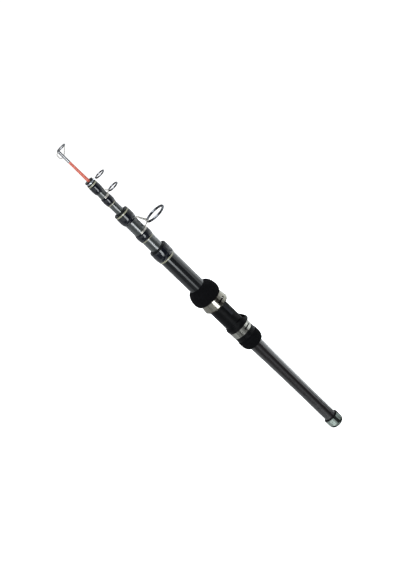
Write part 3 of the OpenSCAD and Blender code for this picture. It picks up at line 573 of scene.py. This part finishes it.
lacquer = clearCoat(gloss=0.1, coatRoughness=0.06)
halfGloss = clearCoat(gloss=0.8, coatRoughness=0.1)
satin = clearCoat(gloss=0.1, coatRoughness=0.16)
varnish = clearCoat(gloss=0.05, coatRoughness=0.07)
windowShade = {"angle": math.radians(57), "spread": math.radians(21.5), "reach": 0.94 * mm}  # in both metal hoods, where painted shade darkens the metal round the windows
fixedWindowShade = dict(windowShade, height=240.26 * mm)
bandWindowShade = dict(windowShade, height=190.06 * mm)
# where a highlight is painted along the seat body
seatHighlight = {"angle": math.radians(59), "spread": math.radians(9.3), "height": 230 * mm, "reach": 15 * mm}
finishes = {
    "guide_chrome": drawnWire("darkChrome", (0.16, 0.165, 0.18), roughness=0.18),
    "bright_steel": drawnWire("paleSteel", (0.52, 0.50, 0.46), roughness=0.45),
    "band_chrome": drawnWire("bandChrome", (0.55, 0.57, 0.60), roughness=0.34),
    "tube_chrome": drawnWire("tubeChrome", (0.34, 0.34, 0.35), roughness=0.16),
    "tip_orange": brightPaint("orangePaint", (0.67, 0.155, 0.108)),
    "blank_dark": lacqueredTube("darkTube", (0.021, 0.025, 0.025),
                                fibre=0.5, flake=0.3, roughness=0.3, shine=halfGloss),
    "blank_grey": lacqueredTube("greyGreenTube", (0.019, 0.0235, 0.0225),
                                fibre=0.5, flake=0.4, roughness=0.3, shine=halfGloss),
    "blank_butt": lacqueredTube("slateTube", (0.0040, 0.0048, 0.0058),
                                fibre=0.4, flake=0.5, roughness=0.4, shine=lacquer),
    "handle_satin": lacqueredTube("satinTube", (0.011, 0.0092, 0.0096),
                                  fibre=0.6, flake=0.15, roughness=0.28, shine=satin),
    "whipping_black": boundThread("navyBinding", (0.0012, 0.0022, 0.0062), pitch=0.22 * mm, shine=varnish),
    "trim_gold": boundThread("paleGoldBinding", (0.30, 0.29, 0.21), pitch=0.30 * mm, shine=varnish),
    "mouth_black": mouldedBlack("blackMouth", (0.003, 0.003, 0.004),
                                roughness=0.35, depth=0.01 * mm, gloss=0.25),
    "foam": foamSkin("blackFoam", (0.0024, 0.0024, 0.0030)),
    "seat_black": mouldedBlack("blackSeat", (0.0022, 0.0023, 0.0027),
                               roughness=0.35, depth=0.02 * mm, gloss=0.1, paintedHighlight=seatHighlight),
    "fixed_steel": wornMetal("fixedHoodSteel", (0.275, 0.263, 0.222),
                             roughness=0.14, lines=0.35, slotShade=fixedWindowShade),
    "band_steel": wornMetal("bandSteel", (0.31, 0.305, 0.275),
                            roughness=0.14, lines=0.35, slotShade=bandWindowShade),
    "cap_metal": wornMetal("turnedCap", (0.25, 0.29, 0.26), roughness=0.12, lines=0.8),
    "rubber_black": mouldedBlack("blackRubber", (0.003, 0.003, 0.003),
                                 roughness=0.6, depth=0.03 * mm, gloss=0.2),
}
nodesOf = {
    "guide_chrome": ["tip_ring", "sliding_guide_ring", "second_guide_ring", "third_guide_ring"],
    "bright_steel": ["tip_brace", "tip_loop", "second_guide_frame", "third_guide_frame"],
    "band_chrome": ["sliding_guide_band"],
    "tube_chrome": ["tip_tube"],
    "tip_orange": ["tip_solid"],
    "blank_dark": ["tip_blank"],
    "blank_grey": ["second_blank", "third_blank"],
    "blank_butt": ["butt_blank"],
    "handle_satin": ["handle_tube"],
    "trim_gold": ["second_front_trim", "second_rear_trim", "third_front_trim", "third_rear_trim",
                  "butt_collar_trim"],
    "mouth_black": ["sliding_guide_bush", "second_ferrule", "third_ferrule", "butt_ferrule", "section_stop"],
    "seat_black": ["seat_body", "hood_sleeve", "lock_nut"],
    "fixed_steel": ["fixed_hood"],
    "band_steel": ["hood_band"],
    "cap_metal": ["butt_cap", "butt_thread_ring"],
    "rubber_black": ["cap_gasket", "butt_pad"],
}
for finishName, names in nodesOf.items():
    for name in names:
        nodes[name].data.materials.clear()
        nodes[name].data.materials.append(finishes[finishName])
print("finishes on the packed nodes:", sum(len(names) for names in nodesOf.values()))


# Turned pieces: a ring that is extruded and resized along the rod, from point to point of an outline
def turnOnLathe(name, outline, sides):
    clearSelection()
    radius, height = outline[0]
    bpy.ops.mesh.primitive_circle_add(vertices=sides, radius=radius, location=(0, 0, height))
    piece = bpy.context.object
    piece.name = name
    bpy.ops.object.transform_apply(location=True, rotation=True, scale=True)
    bpy.ops.object.mode_set(mode="EDIT")
    bpy.ops.mesh.select_all(action="SELECT")
    for (before, low), (radius, height) in zip(outline, outline[1:]):
        bpy.ops.mesh.extrude_region_move(TRANSFORM_OT_translate={"value": (0, 0, height - low)})
        share = radius / before
        bpy.ops.transform.resize(value=(share, share, 1), center_override=(0, 0, height))
    bpy.ops.mesh.select_all(action="SELECT")
    bpy.ops.mesh.remove_doubles(threshold=0.01 * mm)  # closes the last ring on the first
    bpy.ops.mesh.normals_make_consistent(inside=False)
    bpy.ops.object.mode_set(mode="OBJECT")
    bpy.ops.object.shade_smooth()
    return piece


def quarterRound(fromRadius, toRadius, fromHeight, toHeight, steps, bulgeFirst):
    points = []
    for step in range(steps + 1):
        turn = math.pi / 2 * step / steps
        rise, run = math.sin(turn), 1 - math.cos(turn)
        if not bulgeFirst:
            rise, run = run, rise
        radius = fromRadius + (toRadius - fromRadius) * rise
        points.append((radius, fromHeight + (toHeight - fromHeight) * run))
    return points


# Foam grips
foreGrip = {
    "node": "fore_grip",
    "rearRadius": 15.6 * mm,
    "frontRadius": 11.46 * mm,
    "widestAt": 8 * mm,          # from the rear face
    "bore": 10.95 * mm,
    "rimRound": 0.6 * mm,
    "sides": 128,
    "steps": 14,
}
rearGrip = {
    "node": "rear_grip",
    "edgeRadius": 10.09 * mm,
    "dome": 10 * mm,
    "bore": 9.62 * mm,
    "frontBore": 10.79 * mm,
    "boreStep": 2 * mm,          # where the handle gives way to the wider blank
    "rimRound": 1.2 * mm,
    "sides": 128,
    "steps": 14,
    "rimSteps": 6,
}


def foamPiece(name, outline, settings):
    piece = turnOnLathe(name, outline, settings["sides"])
    piece.data.materials.append(finishes["foam"])
    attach(piece, "butt_section")
    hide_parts(settings["node"])


def makeForeGrip():
    grip = foreGrip
    low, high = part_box(grip["node"])
    rim = grip["rimRound"]
    widest = low.z + grip["widestAt"]
    outline = [(grip["bore"], low.z), (grip["rearRadius"] - rim, low.z)]
    outline += quarterRound(grip["rearRadius"], high.x, low.z + rim, widest, grip["steps"], bulgeFirst=True)
    outline += quarterRound(high.x, grip["frontRadius"], widest, high.z, grip["steps"], bulgeFirst=False)[1:]
    outline += [(grip["bore"], high.z), (grip["bore"], low.z)]
    foamPiece("foreGripFoam", outline, grip)


def makeRearGrip():
    grip = rearGrip
    low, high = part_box(grip["node"])
    rim = grip["rimRound"]
    domeTop = low.z + grip["dome"]
    stepAt = low.z + grip["boreStep"]
    outline = [(grip["bore"], low.z)]
    outline += quarterRound(grip["edgeRadius"], high.x, low.z, domeTop, grip["steps"], bulgeFirst=True)
    outline += quarterRound(high.x, high.x - rim, high.z - rim, high.z, grip["rimSteps"], bulgeFirst=False)
    outline += [(grip["frontBore"], high.z), (grip["frontBore"], stepAt)]
    outline += [(grip["bore"], stepAt), (grip["bore"], low.z)]
    foamPiece("rearGripFoam", outline, grip)


makeForeGrip()
makeRearGrip()
print("foam grips turned")


# Thread bindings under varnish, turned with a smooth swelling
bindings = {
    "thinEnd": 0.55 * mm,        # build of thread and varnish at a thin end
    "fullness": 0.6,             # the lower, the sooner the swelling rises from its ends
    "glueLine": 0.05 * mm,
    "sides": 128,
    "steps": 28,
    "sharpAngle": 40,            # degrees, past which an edge stays crisp
    "pieces": [                  # name, node, body, then mm: tube radius behind, in front, build, front build
        ("secondFrontBinding", "second_front_whipping", "second_section", 5.59, 5.56, 1.15, 0.80),
        ("secondRearBinding", "second_rear_whipping", "second_section", 5.64, 5.61, 1.15, 0.55),
        ("thirdFrontBinding", "third_front_whipping", "third_section", 8.60, 8.55, 1.80, 1.45),
        ("thirdRearBinding", "third_rear_whipping", "third_section", 8.70, 8.66, 1.25, 0.55),
        ("buttCollarBinding", "butt_collar", "butt_section", 11.06, 11.10, 1.40, 1.05),
    ],
}


def makeBinding(name, node, body, rearRadius, frontRadius, build, frontBuild):
    low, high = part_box(node)
    rearBore = rearRadius + bindings["glueLine"]
    frontBore = frontRadius + bindings["glueLine"]
    outline = [(rearBore, low.z)]
    for step in range(bindings["steps"] + 1):
        share = (1 - math.cos(math.pi * step / bindings["steps"])) / 2  # closer steps near both ends
        end = bindings["thinEnd"] if share < 0.5 else frontBuild
        swelling = end + (build - end) * math.sin(math.pi * share) ** bindings["fullness"]
        tube = rearRadius + (frontRadius - rearRadius) * share
        outline.append((tube + swelling, low.z + (high.z - low.z) * share))
    outline += [(frontBore, high.z), (rearBore, low.z)]
    piece = turnOnLathe(name, outline, bindings["sides"])
    bpy.ops.object.shade_smooth_by_angle(angle=math.radians(bindings["sharpAngle"]))
    piece.data.materials.append(finishes["whipping_black"])
    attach(piece, body)
    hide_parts(node)


for name, node, body, *sizes in bindings["pieces"]:
    makeBinding(name, node, body, *(length * mm for length in sizes))
print("bindings turned:", len(bindings["pieces"]))
